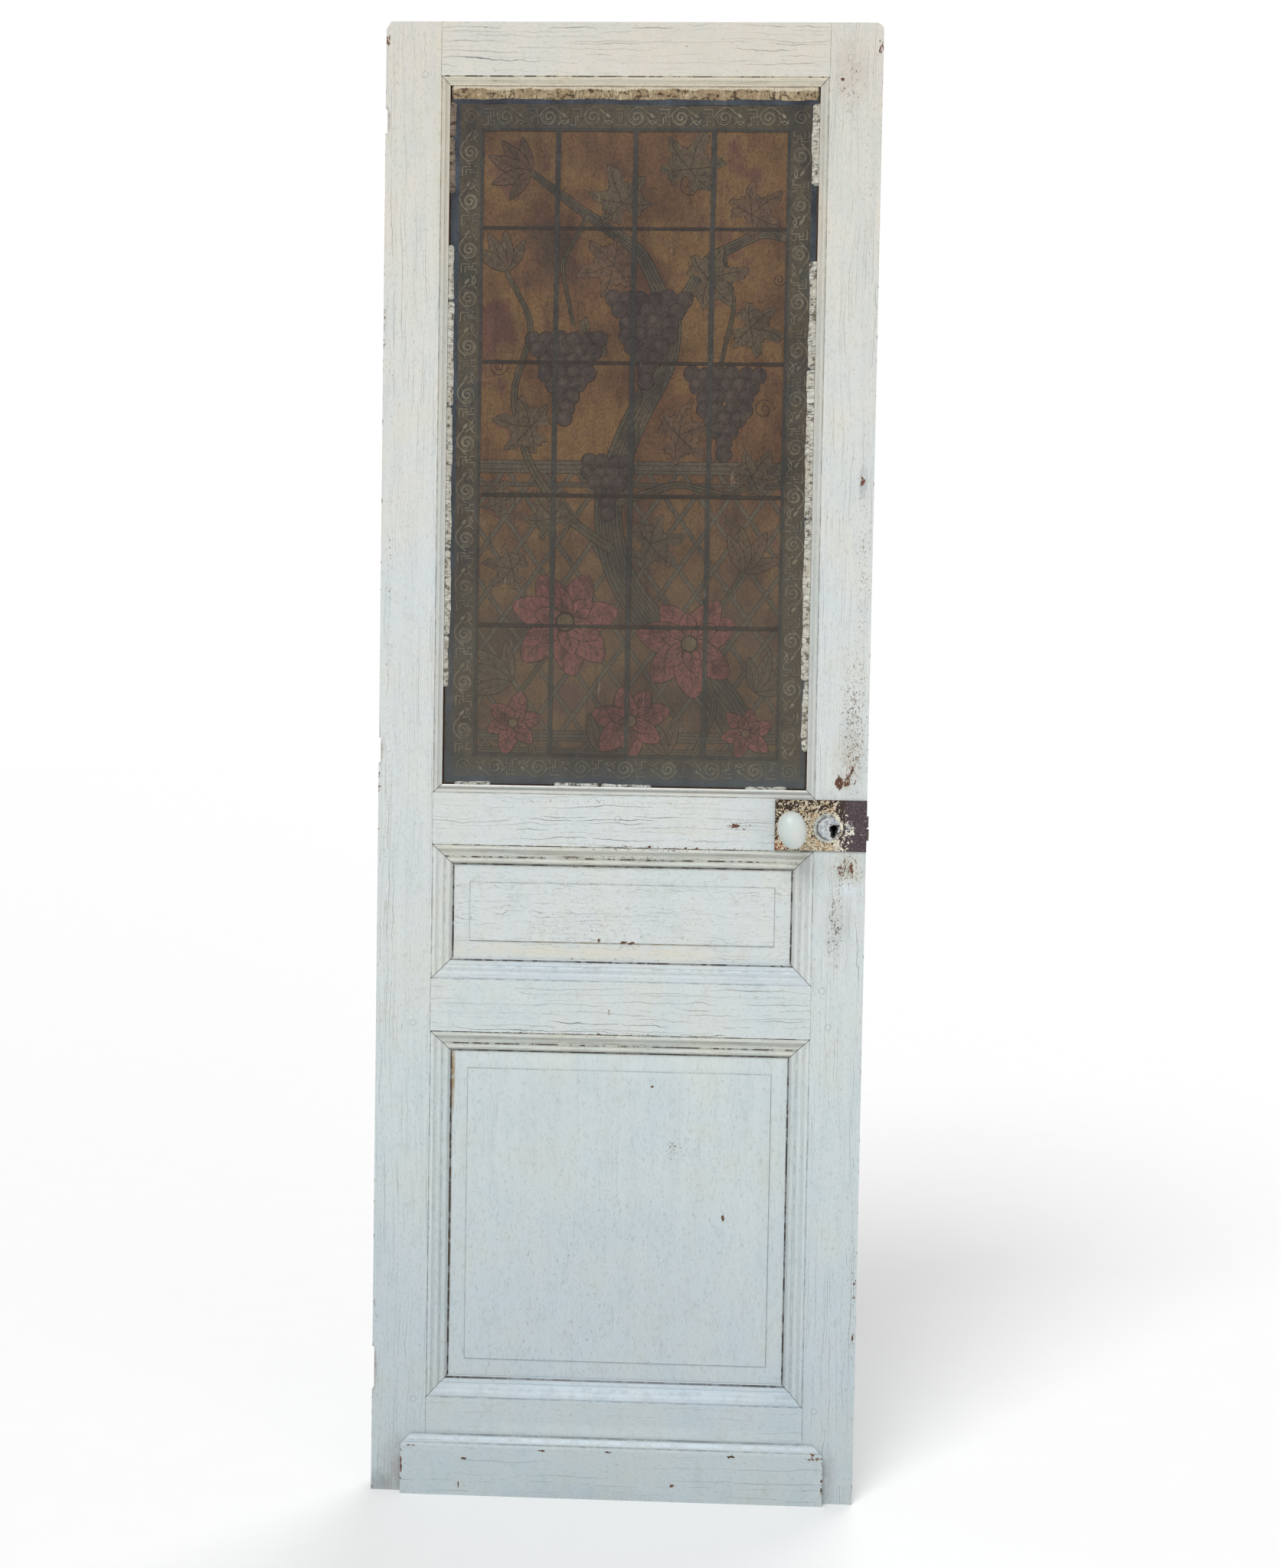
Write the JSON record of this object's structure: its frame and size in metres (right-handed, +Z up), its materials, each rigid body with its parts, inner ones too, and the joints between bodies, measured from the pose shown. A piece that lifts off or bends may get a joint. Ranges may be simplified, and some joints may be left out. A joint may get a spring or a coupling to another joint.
{
  "type": "glazed panel door leaf",
  "caption": "Narrow painted wooden interior door leaf, glazed above with a printed film on the glass, two raised panels below, with a let-in lock and egg-shaped knobs.",
  "frame": {"origin": "on the flat of the middle hinge seat, in the hinge edge, at mid thickness", "axes": "+Z up the leaf, +X across it from the hinge edge to the lock edge, -Y out of the glazed front face"},
  "size_m": [0.7336, 0.1588, 2.2],
  "materials": {
    "painted_wood": "old cracked pale grey-white oil paint on wood",
    "pane": "old clear window glass",
    "film": "aged translucent printed film, satin",
    "putty": "dry cracked glazing putty",
    "lock_paint": "flaking cream paint over rusted steel",
    "lock_steel": "dark rusted steel",
    "porcelain": "glazed white porcelain",
    "knob_brass": "tarnished brass"
  },
  "bodies": {
    "leaf": {"hinge_stile": "painted_wood", "lock_stile": "painted_wood", "top_rail": "painted_wood", "lock_rail": "painted_wood", "frieze_rail": "painted_wood", "bottom_rail": "painted_wood", "pegs": "painted_wood", "upper_panel": "painted_wood", "lower_panel": "painted_wood", "weather_board": "painted_wood", "glass_pane": "pane", "printed_film": "film", "putty_top": "putty", "putty_left": "putty", "putty_right": "putty", "putty_bottom": "putty", "lock_case": "lock_steel", "lock_cover_plate": "lock_paint", "lock_forend": "lock_steel", "dead_bolt": "lock_steel", "keyhole_boss": "lock_paint", "back_key_escutcheon": "knob_brass", "back_knob_rose": "knob_brass"},
    "knob": {"knobs": "porcelain", "knob_necks": "knob_brass", "spindle": "lock_steel"},
    "latch": {"latch_bolt": "lock_steel"}
  },
  "joints": [
    {"name": "knob_turn", "type": "hinge", "parent": "leaf", "child": "knob", "pos_m": [0.6145, 0, -0.104], "axis": [0, -1, 0], "range_deg": [0, 35], "stiffness_Nm_per_rad": 0.5, "springref_deg": -5.73},
    {"name": "latch_slide", "type": "slide", "parent": "leaf", "child": "latch", "axis": [-1, 0, 0], "range_m": [0, 0.005]}
  ],
  "couplings": [
    {"joint": "latch_slide", "follows": "knob_turn", "m_per_rad": 0.007}
  ]
}
